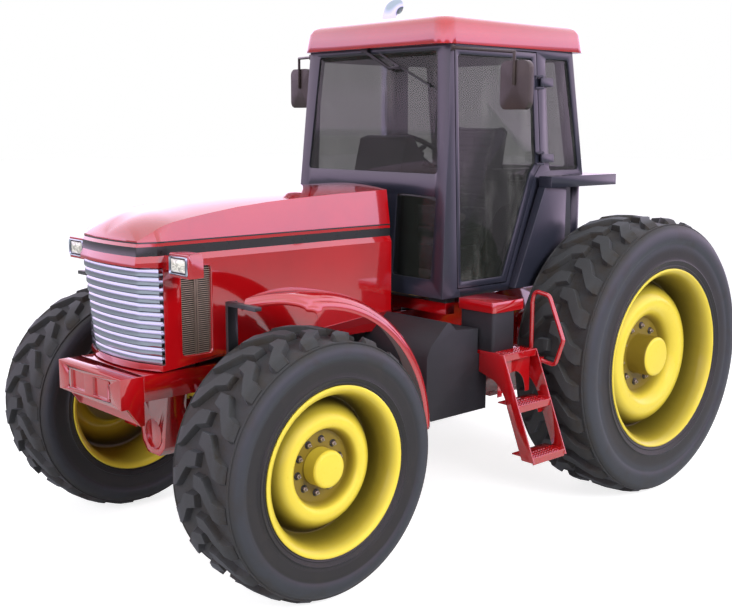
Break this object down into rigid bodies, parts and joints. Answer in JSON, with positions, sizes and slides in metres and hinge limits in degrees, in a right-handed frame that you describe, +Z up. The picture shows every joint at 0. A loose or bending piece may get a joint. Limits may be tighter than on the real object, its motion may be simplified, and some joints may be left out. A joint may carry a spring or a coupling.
{
  "type": "farm tractor",
  "caption": "Four-wheel-drive farm tractor with an enclosed cab, tilting hood, steered front axle, rear three-point linkage, drawbar and power take-off shaft.",
  "frame": {"origin": "middle of the bounding box, on the ground", "axes": "+Z up, front faces -Y, the tractor's left side with the door and steps is +X"},
  "size_m": [2.6922, 4.374, 3.2489],
  "materials": {
    "red_paint": "glossy red enamel",
    "rim_yellow": "glossy golden yellow enamel",
    "tyre_rubber": "dull black rubber with tall lugs",
    "cab_black": "satin blue-black",
    "cab_glass": "grey-green tinted",
    "carpet": "speckled dark mat",
    "moulded_black": "grained black moulding",
    "seat_leather": "dark upholstery",
    "tank_grey": "dark grey polyethylene",
    "chrome": "polished, fluted",
    "engine_grey": "dark castings",
    "screen_mesh": "woven mesh",
    "lamp_glass": "clear lens",
    "tail_red": "red lens",
    "bright_steel": "machined"
  },
  "bodies": {
    "chassis": {"engine_block": "engine_grey", "front_frame": "red_paint", "weight_bracket": "red_paint", "radiator": "engine_grey", "transmission_case": "red_paint", "rear_axles": "red_paint", "front_axle": "red_paint", "fuel_tank": "tank_grey", "right_tank": "tank_grey", "battery_box": "tank_grey", "battery_lid": "red_paint", "steps": "red_paint", "handrail": "red_paint", "rear_deck": "cab_black", "cab_left": "cab_black", "cab_right": "cab_black", "cab_front": "cab_black", "cab_rear": "cab_black", "cab_floor": "carpet", "cab_mounts": "cab_black", "roof": "red_paint", "windscreen": "cab_glass", "lower_windows": "cab_glass", "side_windows": "cab_glass", "rear_window": "cab_glass", "wheel_house": "cab_black", "dashboard": "moulded_black", "seat_base": "moulded_black", "seat_pads": "seat_leather", "side_consoles": "moulded_black", "mirrors": "moulded_black", "exhaust_stack": "chrome", "wiper": "moulded_black", "tail_lights": "tail_red", "drawbar": "red_paint"},
    "hood": {"hood": "red_paint", "grille": "chrome", "side_screens": "screen_mesh", "headlights": "lamp_glass"},
    "door": {"door_frame": "cab_black", "door_glass": "cab_glass"},
    "knuckle_left": {"knuckle_left": "red_paint", "front_fender_left": "red_paint"},
    "knuckle_right": {"knuckle_right": "red_paint", "front_fender_right": "red_paint"},
    "front_wheel_left": {"front_rim_left": "rim_yellow", "front_tyre_left": "tyre_rubber"},
    "front_wheel_right": {"front_rim_right": "rim_yellow", "front_tyre_right": "tyre_rubber"},
    "rear_wheel_left": {"rear_rim_left": "rim_yellow", "rear_tyre_left": "tyre_rubber"},
    "rear_wheel_right": {"rear_rim_right": "rim_yellow", "rear_tyre_right": "tyre_rubber"},
    "tie_rod": {"tie_rod": "red_paint"},
    "steering_wheel": {"steering_wheel": "moulded_black"},
    "rockshaft_arms": {"rockshaft_arms": "red_paint"},
    "lift_rods": {"lift_rods": "red_paint"},
    "lower_links": {"lower_links": "red_paint"},
    "pto_shaft": {"pto_shaft": "bright_steel"}
  },
  "joints": [
    {"name": "rear_wheel_left_roll", "type": "hinge", "parent": "chassis", "child": "rear_wheel_left", "pos_m": [1.062, 1.137, 0.892], "axis": [1, 0, 0], "continuous": true},
    {"name": "rear_wheel_right_roll", "type": "hinge", "parent": "chassis", "child": "rear_wheel_right", "pos_m": [-1.062, 1.137, 0.892], "axis": [1, 0, 0], "continuous": true},
    {"name": "steer_left", "type": "hinge", "parent": "chassis", "child": "knuckle_left", "pos_m": [0.76, -1.493, 0.68], "axis": [0, 0, 1], "range_deg": [-32, 32]},
    {"name": "steer_right", "type": "hinge", "parent": "chassis", "child": "knuckle_right", "pos_m": [-0.76, -1.493, 0.68], "axis": [0, 0, 1], "range_deg": [-32, 32]},
    {"name": "front_wheel_left_roll", "type": "hinge", "parent": "knuckle_left", "child": "front_wheel_left", "pos_m": [0.94, -1.493, 0.68], "axis": [1, 0, 0], "continuous": true},
    {"name": "front_wheel_right_roll", "type": "hinge", "parent": "knuckle_right", "child": "front_wheel_right", "pos_m": [-0.94, -1.493, 0.68], "axis": [1, 0, 0], "continuous": true},
    {"name": "tie_rod_turn", "type": "hinge", "parent": "knuckle_left", "child": "tie_rod", "pos_m": [0.76, -1.318, 0.555], "axis": [0, 0, 1], "range_deg": [-32, 32]},
    {"name": "steering_wheel_turn", "type": "hinge", "parent": "chassis", "child": "steering_wheel", "pos_m": [0, 0.207, 2.19], "axis": [0, 0.5299, 0.848], "continuous": true},
    {"name": "door_swing", "type": "hinge", "parent": "chassis", "child": "door", "pos_m": [0.6905, 0.637, 2.151], "axis": [-0.044, 0, 0.999], "range_deg": [0, 50]},
    {"name": "hood_tilt", "type": "hinge", "parent": "chassis", "child": "hood", "pos_m": [0, -0.483, 1.89], "axis": [-1, 0, 0], "range_deg": [0, 50]},
    {"name": "hitch_lift", "type": "hinge", "parent": "chassis", "child": "rockshaft_arms", "pos_m": [0, 1.367, 1.13], "axis": [1, 0, 0], "range_deg": [-12, 28]},
    {"name": "lower_links_lift", "type": "hinge", "parent": "chassis", "child": "lower_links", "pos_m": [0, 1.227, 0.52], "axis": [1, 0, 0], "range_deg": [-12, 28]},
    {"name": "lift_rods_swing", "type": "hinge", "parent": "rockshaft_arms", "child": "lift_rods", "pos_m": [0, 1.7265, 1.1112], "axis": [1, 0, 0], "range_deg": [-28, 12]},
    {"name": "pto_turn", "type": "hinge", "parent": "chassis", "child": "pto_shaft", "pos_m": [0, 1.497, 0.7], "axis": [0, 1, 0], "continuous": true}
  ],
  "couplings": [
    {"joint": "steer_right", "follows": "steer_left", "ratio": 1},
    {"joint": "tie_rod_turn", "follows": "steer_left", "ratio": -1},
    {"joint": "lower_links_lift", "follows": "hitch_lift", "ratio": 1},
    {"joint": "lift_rods_swing", "follows": "hitch_lift", "ratio": -1}
  ]
}
